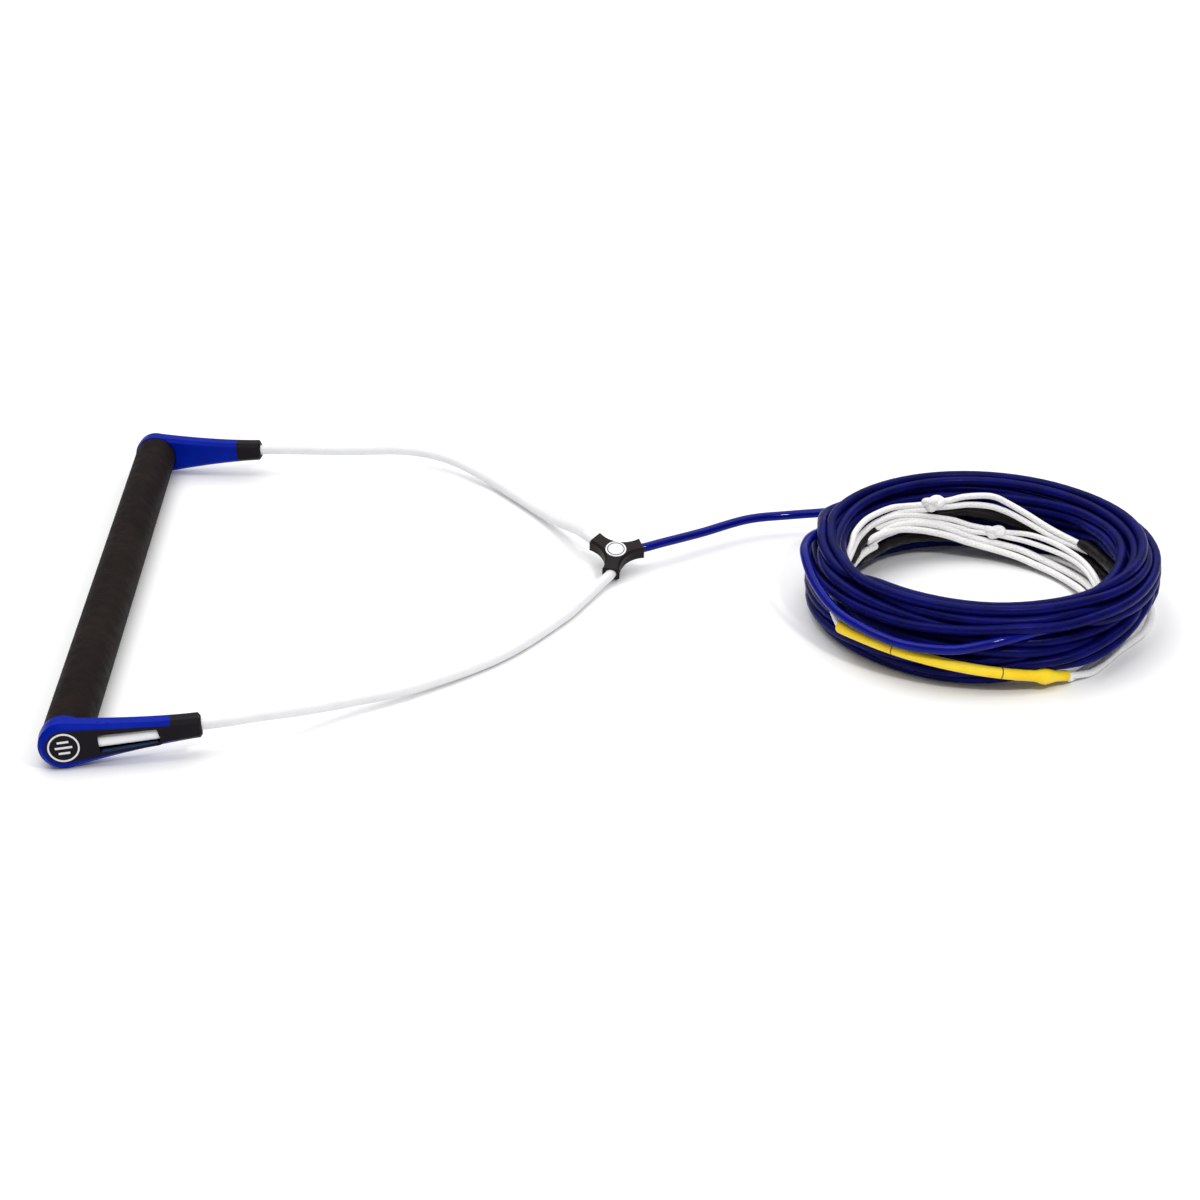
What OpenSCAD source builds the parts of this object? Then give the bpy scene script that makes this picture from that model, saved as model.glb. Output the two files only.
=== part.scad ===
// Tow rope handle: a foam grip between two end caps, a two-legged bridle, a three-armed joiner
// and the towing line wound in a hank.
// The origin is the middle of the grip, on its axis. +Y runs along the grip and +X points from the
// grip to the hank. Everything lies on a flat surface one cap radius under the axis.

/* [Grip] */
// Length of the foam grip between the end caps
grip_len = 381; // [340:1:400]
// Outside diameter of the foam grip
grip_d = 26; // [25:0.5:26.4]
// Outside diameter of the metal tube inside the grip
tube_d = 19; // [17:0.5:21]
// Wall thickness of the metal tube
tube_wall = 1.5; // [1:0.1:2.5]

/* [End caps] */
// Radius of the caps' round ends
cap_r = 13.4; // [13.3:0.1:13.8]
// Thickness of the caps across their faces
cap_t = 10.8; // [10:0.1:12]
// Distance from the grip's axis to the nose face
arm_len = 72; // [70:1:76]
// Half the height of the nose
nose_h = 5.9; // [5.4:0.1:6.5]
// Chamfer along the caps' edges
cap_chamfer = 2.2; // [1.6:0.1:2.6]
// Angle by which the arms lean towards the middle of the grip
arm_lean = 6.7; // [5:0.1:7]
// Angle by which the noses are raised off the surface
nose_rise = 3.6; // [3:0.1:4]
// Length of the black nose tip
tip_len = 16; // [12:1:18]
// Thickness of the black face plate
plate_t = 1.4; // [1:0.1:1.8]
// Outside radius of the round face mark
badge_r = 8.3; // [7.5:0.1:8.8]

/* [Cords] */
// Diameter of the white bridle cord
leg_d = 6.4; // [6:0.1:6.5]
// Diameter of the blue towing line
line_d = 5.8; // [5.4:0.1:5.9]
// Diameter of one white take-off braid pair
braid_d = 6.6; // [6:0.1:6.8]
// Diameter of the black shrink sleeves
sleeve_d = 6.4; // [6:0.1:6.6]
// Diameter of the yellow label sleeve
label_d = 6.4; // [6:0.1:6.8]
// Width of the boat-end loop's two cords lying together
loop_d = 8; // [7:0.1:8.2]

/* [Joiner] */
// Distance from the joiner's centre to the end of each arm
joiner_arm = 16.7; // [16:0.1:18]
// Width of the joiner's arms at their ends
joiner_w = 10.8; // [10:0.1:12]
// Thickness of the joiner
joiner_t = 9.2; // [8.8:0.1:9.4]
// Depth by which the joiner's sides curve in
joiner_hollow = 5; // [4:0.1:5.4]
// Radius of the joiner's round mark
joiner_badge_r = 6.4; // [5.5:0.1:6.6]

/* [Hank] */
// Mean radius of the hank
hank_r = 93; // [92:0.1:94]
// Width of the hank's bundle
hank_w = 24.6; // [24:0.1:25]
// Height of the hank's bundle
hank_h = 49.8; // [49:0.1:52]

/* [Hidden] */
$fn = 64;
eps = 0.01;
floor_z = -cap_r;

// End cap, in a frame with X along the arm and Y out of the handle's end
collar_t = 3;            // depth of the ring that meets the grip's end
grip_gap = 0.3;          // space between the leaning arm and the grip
spigot_len = 24;
spigot_gap = 0.05;
cord_gap = 0.1;          // space around the cord in the cap's bore
cord_in = 12;            // where the cord ends inside the cap, from the axis
cord_rise = 1.3;         // angle at which the cord comes up to the face plate
plate_r = 9.6;           // round end of the face plate
plate_nose = 4.4;        // half the height of the face plate where it meets the tip
tub_t = 6.2;             // depth of the block that lines the window
window_x0 = 18;
window_x1 = 50;
window_t = 4.9;          // depth of the window recess
badge_t = 0.4;
badge_line = 0.9;        // width of the mark's ring
bar_t = 1.1;             // width of the mark's bars
face_y = cap_t / 2;
arm_taper = 1.6;         // how fast the arm narrows from the round end
window_corner = 1.2;     // radius of the window's corners
window_lip = 1.4;        // wall of the block that lines the window
// Middles of the window's corner arcs, from the lower left one round to the upper left one
window_corners = [
    [window_x0 + window_corner, -5.2], [window_x1 - window_corner, -3.6],
    [window_x1 - window_corner - 1, 2.2], [window_x0 + window_corner, 3.2]
];

// Joiner
joiner_tilt = 20.4;      // the joiner's near edge is lower
lead_turn = 17;          // direction of the lead arm
joiner_at = [302, 24.5, floor_z + 11.7];
joiner_chamfer = 1.3;
joiner_bore = 9;
pivot_gap = 3.6;         // a flex point lies this far in front of the face that the cord leaves
cord_start = 0.4;        // the far cord starts this far past its flex point

// Hank
hank_at = [516.4, -38.1];
sleeve_ring_r = hank_r - hank_w / 2 - sleeve_d / 2 - 0.1;
braid_ring_r = sleeve_ring_r - sleeve_d / 2 - braid_d / 2 - 0.3;
hank_lift = 9;           // the hank rests this high on the boat-end loop and the label sleeve
lift_from = 266;         // stretch of the hank that is raised
lift_to = 402;
label_ring_r = 92.8;     // the label sleeve's own circle, which leans down to the surface
label_ring_at = [503.9, -50.6, 0.64];

// Routes of the free cords, heights above the surface
near_route = [
    [86, -184.5, 18], [98, -179, 17], [122, -164, 12], [148, -147, 7.5], [185, -126, 4.5],
    [230, -91, 3.6], [265, -47, 3.6], [281, -20, 3.8], [291, -2, 4.6]
];
far_route = [
    [86, 187, 17.8], [98, 188, 17], [130, 190, 15], [163, 193, 13.5], [184, 189, 12],
    [201, 180, 10], [217, 166, 7], [232, 148, 5], [256, 108, 5], [269, 82, 8], [279, 60, 13],
    [285, 43, 16.2]
];
lead_route = [
    [331, 35, 14], [357, 51, 13], [388, 67.5, 14], [416, 73, 14], [440, 72, 16], [468, 70, 20], [497, 69, 24]
];
// Routes round the hank: angle, distance outside the hank's mean radius, height
crossing_route = [
    [186, 15.6, 45], [196, 15.6, 36], [208, 16, 29.5], [220, 17.5, 27.8], [235, 18, 26],
    [250, 16, 27.5], [262, 15.6, 32], [272, 15.6, 37]
];
loop_route = [
    [294.4, 4.5, 4.2], [298, 2.6, 4.2], [303, 0.8, 4.2], [309, -1.5, 4.2], [316, -3.2, 4.2],
    [325, -2.5, 4.2], [334, 0.8, 4.2], [343, 3.8, 4.2], [353, 7, 4.2], [364, 8.5, 4.2],
    [376, 8.5, 4.2], [388, 7.5, 4.2], [396, 6, 4.2]
];

function joiner_dir(a) = [cos(a), sin(a) * cos(joiner_tilt), sin(a) * sin(joiner_tilt)];
function joiner_point(a, d) = joiner_at + d * joiner_dir(a);
function drop(route) = [for (p = route) [p.x, p.y, p.z + floor_z]];
function round_hank(route) = [
    for (p = route)
        [hank_at.x + (hank_r + p[1]) * cos(p[0]), hank_at.y + (hank_r + p[1]) * sin(p[0]), floor_z + p[2]]
];
// A point d along the arm's axis, in the part's frame; side is -1 for the near cap and 1 for the far one
function arm_point(side, d) = [
    d * cos(arm_lean) * cos(nose_rise),
    side * (grip_len / 2 + cap_t / 2 - d * sin(arm_lean)),
    d * cos(arm_lean) * sin(nose_rise)
];

// Smooth route: a Catmull-Rom curve through the points, with a ring at each step
function spline(p, i, t) =
    let (
        a = p[max(i - 1, 0)], b = p[i], c = p[i + 1], d = p[min(i + 2, len(p) - 1)],
        m = (c - a) / 2, n = (d - b) / 2
    )
    (2 * t ^ 3 - 3 * t ^ 2 + 1) * b + (t ^ 3 - 2 * t ^ 2 + t) * m
    + (3 * t ^ 2 - 2 * t ^ 3) * c + (t ^ 3 - t ^ 2) * n;
function smooth_route(p, steps) = [
    for (k = [0 : steps])
        let (s = k * (len(p) - 1) / steps, i = min(floor(s), len(p) - 2))
        spline(p, i, s - i)
];
function unit(v) = v / norm(v);
function heading(q, i) = unit(q[min(i + 1, len(q) - 1)] - q[max(i - 1, 0)]);

// Sweep a round tube of radius r through the points q
module tube(q, r, sides = 10) {
    rings = [
        for (i = [0 : len(q) - 1])
            let (h = heading(q, i), u = unit(cross([0, 0, 1], h)), v = cross(h, u))
            for (k = [0 : sides - 1]) q[i] + r * (u * cos(360 * k / sides) + v * sin(360 * k / sides))
    ];
    last = (len(q) - 1) * sides;
    walls = [
        for (i = [0 : len(q) - 2], k = [0 : sides - 1])
            let (a = i * sides + k, b = i * sides + (k + 1) % sides)
            [a, a + sides, b + sides, b]
    ];
    ends = [[for (k = [0 : sides - 1]) k], [for (k = [sides - 1 : -1 : 0]) last + k]];
    polyhedron(rings, concat(walls, ends));
}

module along_y(len, r) {
    rotate([-90, 0, 0])
        cylinder(h = len, r = r);
}

// Handle

module handle_tube() {
    color("silver")
        translate([0, -grip_len / 2, 0])
            difference() {
                along_y(grip_len, tube_d / 2);
                translate([0, -eps, 0])
                    along_y(grip_len + 2 * eps, tube_d / 2 - tube_wall);
            }
}

module grip_sleeve() {
    color([0.16, 0.13, 0.13])
        translate([0, -grip_len / 2, 0])
            difference() {
                along_y(grip_len, grip_d / 2);
                translate([0, -eps, 0])
                    along_y(grip_len + 2 * eps, tube_d / 2);
            }
}

// Place a cap's shape at one end of the grip; side is -1 for the near end and 1 for the far one
module cap_place(side) {
    rotate([0, -nose_rise, 0])
        translate([0, side * grip_len / 2, 0])
            mirror([0, side < 0 ? 1 : 0, 0])
                children();
}

// The arm's own frame: X along the arm, Y = 0 in the middle of its thickness
module arm_frame() {
    translate([0, cap_t / 2, 0])
        rotate([0, 0, -arm_lean])
            children();
}

// The arm's half height at a distance x from the grip's axis
function arm_h(x) = nose_h + (cap_r - nose_h) * (1 - x / arm_len) ^ arm_taper;

// One chamfered cross-section of the arm
function arm_section(x, h, w, c) = [
    [x, -w, -h + c], [x, -w + c, -h], [x, w - c, -h], [x, w, -h + c],
    [x, w, h - c], [x, w - c, h], [x, -w + c, h], [x, -w, h - c]
];

module arm_solid() {
    nose_bevel = 1.2;
    steps = 12;
    body_len = arm_len - nose_bevel;
    sections = [
        for (i = [0 : steps])
            let (x = body_len * i / steps)
            arm_section(x, arm_h(x), face_y, cap_chamfer),
        arm_section(arm_len, nose_h - nose_bevel, face_y - nose_bevel, cap_chamfer)
    ];
    n = len(sections);
    points = [for (s = sections) each s];
    walls = [
        for (i = [0 : n - 2], k = [0 : 7])
            let (a = i * 8 + k, b = i * 8 + (k + 1) % 8)
            [b, b + 8, a + 8, a]
    ];
    ends = [[for (k = [0 : 7]) k], [for (k = [7 : -1 : 0]) (n - 1) * 8 + k]];
    polyhedron(points, concat(walls, ends));
}

// The round end: a chamfered disc in the arm's frame
module round_end() {
    rotate([-90, 0, 0])
        rotate_extrude()
            polygon([
                [0, -face_y], [cap_r - cap_chamfer, -face_y], [cap_r, -face_y + cap_chamfer],
                [cap_r, face_y - cap_chamfer], [cap_r - cap_chamfer, face_y], [0, face_y]
            ]);
}

// Whole outside shape of a cap
module cap_body() {
    grip_side = cap_t * 3;
    union() {
        along_y(collar_t, cap_r);
        difference() {
            arm_frame() {
                arm_solid();
                round_end();
            }
            translate([0, -grip_side, 0])
                along_y(grip_side, cap_r + grip_gap);
        }
    }
}

// The stretch of the arm frame past a distance x
module past(x) {
    reach = 50;
    arm_frame()
        translate([x, -reach, -reach])
            cube(2 * reach);
}

// Outline of the face plate, flat in XZ
module plate_outline() {
    circle(r = plate_r);
    polygon([
        [0, -plate_r], [arm_len - tip_len + eps, -plate_nose],
        [arm_len - tip_len + eps, plate_nose], [0, plate_r]
    ]);
}

// Window outline: round corners and a slanted right end
module window_outline(grow) {
    hull()
        for (p = window_corners)
            translate(p)
                circle(r = window_corner + grow);
}

// Extrude an outline from the outer face inwards by depth, or outwards by out
module on_face(depth, out = 0) {
    arm_frame()
        translate([0, face_y + out, 0])
            rotate([90, 0, 0])
                linear_extrude(height = depth + out)
                    children();
}

// The bridle cord inside the cap, from its hidden end to the nose face
module cap_cord_shape(r, past_nose) {
    arm_frame()
        translate([arm_len, 0, 0])
            rotate([0, 0, -cord_rise])
                rotate([0, -90, 0])
                    translate([0, 0, -past_nose])
                        cylinder(h = arm_len - cord_in + past_nose, r = r);
}

module tub_block() {
    on_face(tub_t)
        window_outline(window_lip);
}

module cap_shell(side) {
    color([0, 0.08, 0.6])
        cap_place(side)
            difference() {
                union() {
                    cap_body();
                    translate([0, -spigot_len, 0])
                        along_y(spigot_len + collar_t, tube_d / 2 - tube_wall - spigot_gap);
                }
                past(arm_len - tip_len);
                on_face(plate_t, 1)
                    plate_outline();
                tub_block();
                cap_cord_shape(leg_d / 2 + cord_gap, 1);
            }
}

module cap_insert(side) {
    color([0.1, 0.09, 0.12])
        cap_place(side)
            difference() {
                union() {
                    intersection() {
                        cap_body();
                        past(arm_len - tip_len);
                    }
                    on_face(plate_t)
                        plate_outline();
                    tub_block();
                }
                on_face(window_t, 1)
                    window_outline(0);
                cap_cord_shape(leg_d / 2 + cord_gap, 1);
            }
}

// Plain mark: a ring with three level bars
module cap_badge(side) {
    color("white")
        cap_place(side)
            on_face(-eps, badge_t) {
                difference() {
                    circle(r = badge_r);
                    circle(r = badge_r - badge_line);
                }
                for (b = [[0, 9], [3.2, 6], [-3.2, 6]])
                    translate([-b[1] / 2, b[0] - bar_t / 2])
                        square([b[1], bar_t]);
            }
}

module cap_cord(side) {
    color("white")
        cap_place(side)
            cap_cord_shape(leg_d / 2, 0);
}

// Bridle

module leg(side, route, turn) {
    start = arm_point(side, arm_len + pivot_gap + cord_start);
    finish = [joiner_point(turn, joiner_arm), joiner_point(turn, joiner_arm - joiner_bore + 1)];
    q = smooth_route(concat([start], drop(route), finish), 16);
    color("white")
        tube(q, leg_d / 2);
}

module joiner_frame() {
    translate(joiner_at)
        rotate([joiner_tilt, 0, 0])
            rotate([0, 0, lead_turn])
                children();
}

module joiner_body() {
    half = joiner_w / 2;
    chord = norm([joiner_arm, half] - [-joiner_arm / 2 + half * sin(60), joiner_arm * sin(60) + half / 2]);
    side_r = (chord ^ 2 / 4 + joiner_hollow ^ 2) / (2 * joiner_hollow);
    side_at = joiner_arm / 2 + half * sin(60) - joiner_hollow + side_r;
    corners = [
        for (k = [0 : 2], s = [-1, 1])
            let (a = 120 * k)
            [joiner_arm * cos(a) - s * half * sin(a), joiner_arm * sin(a) + s * half * cos(a)]
    ];
    top = joiner_t / 2;
    color([0.13, 0.11, 0.11])
        joiner_frame()
            difference() {
                linear_extrude(height = joiner_t, center = true)
                    polygon(corners);
                for (k = [0 : 2])
                    rotate([0, 0, 60 + 120 * k])
                        translate([side_at, 0, 0])
                            rotate_extrude($fn = 96)
                                polygon([
                                    [0, -top - 1], [side_r + joiner_chamfer + 1, -top - 1],
                                    [side_r, -top + joiner_chamfer], [side_r, top - joiner_chamfer],
                                    [side_r + joiner_chamfer + 1, top + 1], [0, top + 1]
                                ]);
                for (k = [0 : 2])
                    rotate([0, 0, 120 * k])
                        translate([joiner_arm - joiner_bore, 0, 0])
                            rotate([0, 90, 0])
                                cylinder(h = joiner_bore + 1, r = (k == 0 ? line_d : leg_d) / 2 + cord_gap);
            }
}

module joiner_badge() {
    color("white")
        joiner_frame()
            translate([0, 0, joiner_t / 2])
                cylinder(h = badge_t, r = joiner_badge_r);
}

// Line

module lead_line() {
    start = joiner_point(lead_turn, joiner_arm + pivot_gap + cord_start);
    color([0, 0.1, 0.65])
        tube(smooth_route(concat([start], drop(lead_route)), 11), line_d / 2);
}

module lean(tilt_axis, tilt) {
    rotate(a = tilt, v = [cos(tilt_axis), sin(tilt_axis), 0])
        children();
}

module hank_frame(z, tilt_axis = 0, tilt = 0) {
    translate([hank_at.x, hank_at.y, floor_z + z])
        lean(tilt_axis, tilt)
            children();
}

// An arc of round cord on a circle of radius ring_r, from angle a to angle b
module arc(ring_r, a, b, d) {
    rotate([0, 0, a])
        rotate_extrude(angle = b - a, $fn = 96)
            translate([ring_r, 0])
                circle(d = d, $fn = 32);
}

module line_coil() {
    r = hank_w / 2;
    color([0.04, 0.05, 0.3])
        hank_frame(0)
            difference() {
                rotate_extrude($fn = 128)
                    translate([hank_r, 0]) {
                        translate([0, r])
                            circle(r = r);
                        translate([0, hank_h - r])
                            circle(r = r);
                        translate([-r, r])
                            square([hank_w, hank_h - hank_w]);
                    }
                rotate([0, 0, lift_from])
                    rotate_extrude(angle = lift_to - lift_from, $fn = 128)
                        translate([hank_r - r - 1, -1])
                            square([hank_w + 2, hank_lift + 1]);
            }
}

module crossing_strand() {
    color([0, 0.1, 0.7])
        tube(smooth_route(round_hank(crossing_route), 11), line_d / 2);
}

module label_sleeve() {
    bump_d = 9.4;
    color("gold")
        translate(label_ring_at + [0, 0, floor_z])
            lean(131.6, 12.08) {
                arc(label_ring_r, 207.5, 299, label_d);
                arc(label_ring_r, 286, 291.5, bump_d);
            }
}

module boat_loop() {
    color([0.9, 0.92, 0.95])
        tube(smooth_route(round_hank(loop_route), 19), loop_d / 2);
}

module takeoff_a() {
    color("white")
        hank_frame(34, 90, 7)
            arc(braid_ring_r, 26, 158, braid_d);
}

module knot_a() {
    color("white")
        hank_frame(34, 90, 7)
            rotate([0, 0, 102])
                translate([braid_ring_r - 2.5, 0, 0])
                    sphere(r = 5.6);
}

module takeoff_b() {
    color("white")
        hank_frame(21, 90, 5)
            arc(braid_ring_r, 26, 118, braid_d - 0.8);
}

module knot_b() {
    color("white")
        hank_frame(21, 90, 5)
            rotate([0, 0, 73])
                translate([braid_ring_r - 2.5, 0, 0])
                    sphere(r = 5.2);
}

module takeoff_c() {
    color("white")
        hank_frame(10.8, 90, 11)
            arc(braid_ring_r, 58, 140, braid_d);
}

module braid_tail() {
    color("white")
        hank_frame(4)
            arc(sleeve_ring_r, 12, 47, sleeve_d);
}

module sleeve_left() {
    color("black")
        hank_frame(30)
            arc(sleeve_ring_r, 124, 163, sleeve_d);
}

module sleeve_low() {
    color("black")
        hank_frame(12.5, 90, 4.5)
            arc(sleeve_ring_r, 53, 138, sleeve_d);
}

module sleeve_up() {
    color("black")
        hank_frame(29, 90, 9.4)
            arc(sleeve_ring_r, 10, 100, sleeve_d);
}

handle_tube();
grip_sleeve();
cap_shell(-1);  // cap_shell_near
cap_shell(1);  // cap_shell_far
cap_insert(-1);  // cap_insert_near
cap_insert(1);  // cap_insert_far
cap_badge(-1);  // cap_badge_near
cap_badge(1);  // cap_badge_far
cap_cord(-1);  // cap_cord_near
cap_cord(1);  // cap_cord_far
leg(-1, near_route, lead_turn + 240);  // leg_near
leg(1, far_route, lead_turn + 120);  // leg_far
joiner_body();
joiner_badge();
lead_line();
line_coil();
crossing_strand();
label_sleeve();
boat_loop();
takeoff_a();
takeoff_b();
takeoff_c();
knot_a();
knot_b();
braid_tail();
sleeve_left();
sleeve_low();
sleeve_up();
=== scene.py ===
import math

import bmesh
import bpy
import numpy as np
from mathutils import Matrix, Vector


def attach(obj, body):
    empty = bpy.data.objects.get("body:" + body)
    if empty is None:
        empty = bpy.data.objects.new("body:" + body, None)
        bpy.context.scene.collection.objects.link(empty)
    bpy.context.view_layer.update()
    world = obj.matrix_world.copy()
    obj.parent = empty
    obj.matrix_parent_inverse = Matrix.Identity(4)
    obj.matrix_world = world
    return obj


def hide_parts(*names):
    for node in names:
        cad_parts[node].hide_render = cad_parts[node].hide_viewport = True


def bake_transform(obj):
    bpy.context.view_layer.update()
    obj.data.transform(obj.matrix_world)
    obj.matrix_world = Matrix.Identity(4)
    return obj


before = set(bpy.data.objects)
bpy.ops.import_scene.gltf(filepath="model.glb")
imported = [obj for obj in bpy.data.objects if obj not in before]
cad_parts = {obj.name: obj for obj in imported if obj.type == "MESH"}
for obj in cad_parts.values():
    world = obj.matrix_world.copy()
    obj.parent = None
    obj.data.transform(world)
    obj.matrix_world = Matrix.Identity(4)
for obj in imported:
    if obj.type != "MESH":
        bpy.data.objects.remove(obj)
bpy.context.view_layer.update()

scene = bpy.context.scene


def rad(a):
    return math.radians(a)


# ---------------------------------------------------------------- sizes in mm, as in part.scad

MM = 0.001
GRIP_LEN = 381.0
CAP_R, CAP_T = 13.4, 10.8              # an end cap: radius of its round end, thickness
ARM_LEN = 72.0                         # of a cap's arm, from the grip's axis to the nose
LEAN, RISE = rad(6.7), rad(3.6)        # the arms lean towards each other and rise a little
LEG_D, LINE_D = 6.4, 5.8               # bridle cord, line
FLOOR = -CAP_R                         # the surface, one cap radius under the grip's axis
HANK, HANK_R = Vector((516.4, -38.1, FLOOR)), 93.0     # centre on the surface, mean radius


# ---------------------------------------------------------------- camera, fitted to the photo

camera_data = bpy.data.cameras.new("camera")
camera_data.sensor_width = 36
camera_data.lens = 69
camera_data.clip_start, camera_data.clip_end = 0.05, 20
camera = bpy.data.objects.new("camera", camera_data)
scene.collection.objects.link(camera)
camera.location = (0.2315, -1.2557, 0.6058)
camera.rotation_euler = (rad(63.513), 0, rad(-2.719))
scene.camera = camera


# ---------------------------------------------------------------- node helpers

MAT = {}                               # every material, by the name it was asked for under


class Shader:
    """A material's node tree, built one node at a time. Keyword arguments set the main shader's inputs."""

    def __init__(self, name, **inputs):
        self.mat = bpy.data.materials.new(name)
        self.mat.use_nodes = True
        MAT[name] = self.mat
        self.tree = self.mat.node_tree
        self.bsdf = self.tree.nodes["Principled BSDF"]
        for k, v in inputs.items():
            self.bsdf.inputs[k.replace("_", " ")].default_value = v

    def node(self, kind, **settings):
        n = self.tree.nodes.new(kind)
        for k, v in settings.items():
            if hasattr(n, k):
                setattr(n, k, v)
            else:
                n.inputs[k.replace("_", " ")].default_value = v
        return n

    def link(self, a, b):
        self.tree.links.new(a, b)

    def coords(self, kind="Object"):
        return self.node("ShaderNodeTexCoord").outputs[kind]

    def mapping(self, source, scale):
        n = self.node("ShaderNodeMapping", Scale=scale)
        self.link(source, n.inputs["Vector"])
        return n.outputs[0]

    def noise(self, source, scale, detail):
        n = self.node("ShaderNodeTexNoise", Scale=scale, Detail=detail, Roughness=0.55)
        self.link(source, n.inputs["Vector"])
        return n.outputs["Fac"]

    def ramp(self, fac, stops):
        n = self.node("ShaderNodeValToRGB")
        el = n.color_ramp.elements
        while len(el) < len(stops):
            el.new(0.5)
        for e, (p, c) in zip(el, stops):
            e.position = p
            e.color = (*c, 1)
        self.link(fac, n.inputs["Fac"])
        return n.outputs["Color"]

    def scale_to(self, fac, low, high, start=0.3, end=0.7):
        """Turns the range start to end of a value into low to high, clamped."""
        n = self.node("ShaderNodeMapRange")
        for k, v in (("From Min", start), ("From Max", end), ("To Min", low), ("To Max", high)):
            n.inputs[k].default_value = v
        self.link(fac, n.inputs["Value"])
        return n.outputs[0]

    def math(self, op, a, b=None):
        n = self.node("ShaderNodeMath", operation=op)
        for i, v in enumerate((a, b)):
            if v is None:
                continue
            if isinstance(v, (int, float)):
                n.inputs[i].default_value = v
            else:
                self.link(v, n.inputs[i])
        return n.outputs[0]

    def mix(self, fac, a, b):
        n = self.node("ShaderNodeMix", data_type="RGBA")
        if isinstance(fac, (int, float)):
            n.inputs["Factor"].default_value = fac
        else:
            self.link(fac, n.inputs["Factor"])
        for k, v in (("A", a), ("B", b)):
            slot = next(s for s in n.inputs if s.name == k and s.type == "RGBA")
            if isinstance(v, tuple):
                slot.default_value = (*v, 1)
            else:
                self.link(v, slot)
        return next(s for s in n.outputs if s.type == "RGBA")

    def colour(self, out):
        self.link(out, self.bsdf.inputs["Base Color"])

    def roughness(self, out):
        self.link(out, self.bsdf.inputs["Roughness"])

    def bump(self, height, strength, distance_mm, under=None):
        n = self.node("ShaderNodeBump")
        n.inputs["Strength"].default_value = strength
        n.inputs["Distance"].default_value = distance_mm * MM
        self.link(height, n.inputs["Height"])
        if under is not None:
            self.link(under, n.inputs["Normal"])
        self.link(n.outputs[0], self.bsdf.inputs["Normal"])
        return n.outputs[0]

    def braid(self, around, pitch):
        """Height of a round braid from a tube's UVs: strands cross at both slants."""
        uv = self.node("ShaderNodeSeparateXYZ")
        self.link(self.coords("UV"), uv.inputs[0])
        a = self.math("MULTIPLY", uv.outputs[0], around * 2 * math.pi)
        b = self.math("MULTIPLY", uv.outputs[1], 2 * math.pi / (pitch * MM))
        one = self.math("SINE", self.math("ADD", a, b))
        two = self.math("SINE", self.math("SUBTRACT", a, b))
        return self.math("ADD", self.math("MULTIPLY", self.math("MAXIMUM", one, two), 0.5), 0.5)


def line_material(name, deep, light, rough, spec, weave):
    """The coated blue line, with its braid showing faintly through the coat."""
    s = Shader(name, Specular_IOR_Level=spec)
    obj = s.coords()
    braid = s.braid(6, 5.2)
    patch = s.noise(obj, 70, 4)
    base = s.mix(s.scale_to(patch, 0, 1, 0.35, 0.68), deep, light)
    s.colour(s.mix(s.scale_to(braid, 0, 0.3, 0.2, 0.9), base, light))
    s.roughness(s.scale_to(s.noise(obj, 190, 3), rough * 0.85, rough * 1.2))
    under = s.bump(s.noise(obj, 240, 3), 0.12, 0.25)
    s.bump(braid, weave, 0.18, under)


def braid_material(name, pale, shade, rough, depth, gap_shade, spec=0.3, around=5, pitch=5.0):
    """White cord. around and pitch set its braid, depth and gap_shade how clearly that shows; gap_shade is painted
    shade, darkening the gaps between its strands.
    """
    s = Shader(name, Specular_IOR_Level=spec, Sheen_Weight=0.15, Sheen_Roughness=0.5)
    obj = s.coords()
    braid = s.braid(around, pitch)
    dirt = s.scale_to(s.noise(obj, 90, 4), 0, 0.6, 0.42, 0.72)
    base = s.mix(dirt, pale, shade)
    # gap: the shade colour darkened further and painted into the gaps between the strands, as painted shade
    gap = tuple(c * 0.6 for c in shade)
    s.colour(s.mix(s.scale_to(braid, gap_shade, 0, 0.1, 0.7), base, gap))
    s.roughness(s.scale_to(braid, rough + 0.1, rough, 0.2, 0.9))
    fibre = s.noise(s.mapping(s.coords("UV"), (60, 900, 1)), 6, 3)
    under = s.bump(fibre, 0.2, 0.15)
    s.bump(braid, depth, 0.35, under)


def plastic_material(name, deep, light, rough, grain, spec):
    """Moulded plastic with a slight unevenness in colour, gloss and surface."""
    s = Shader(name, Specular_IOR_Level=spec)
    obj = s.coords()
    s.colour(s.mix(s.scale_to(s.noise(obj, 45, 4), 0, 1, 0.3, 0.7), deep, light))
    s.roughness(s.scale_to(s.noise(obj, 120, 3), rough * 0.85, rough * 1.2))
    under = s.bump(s.noise(obj, 1500, 2), grain, 0.12)
    s.bump(s.noise(obj, 60, 2), 0.08, 0.4, under)


RIB_PITCH, RIB_STARTS = 2.0, 16        # the grip's slanting ribs: mm along it, number round it
LABEL_RINGS, RING_HALF = (38.6, 101.0), 0.3            # the label's two black lines: mm along it, half width


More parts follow.
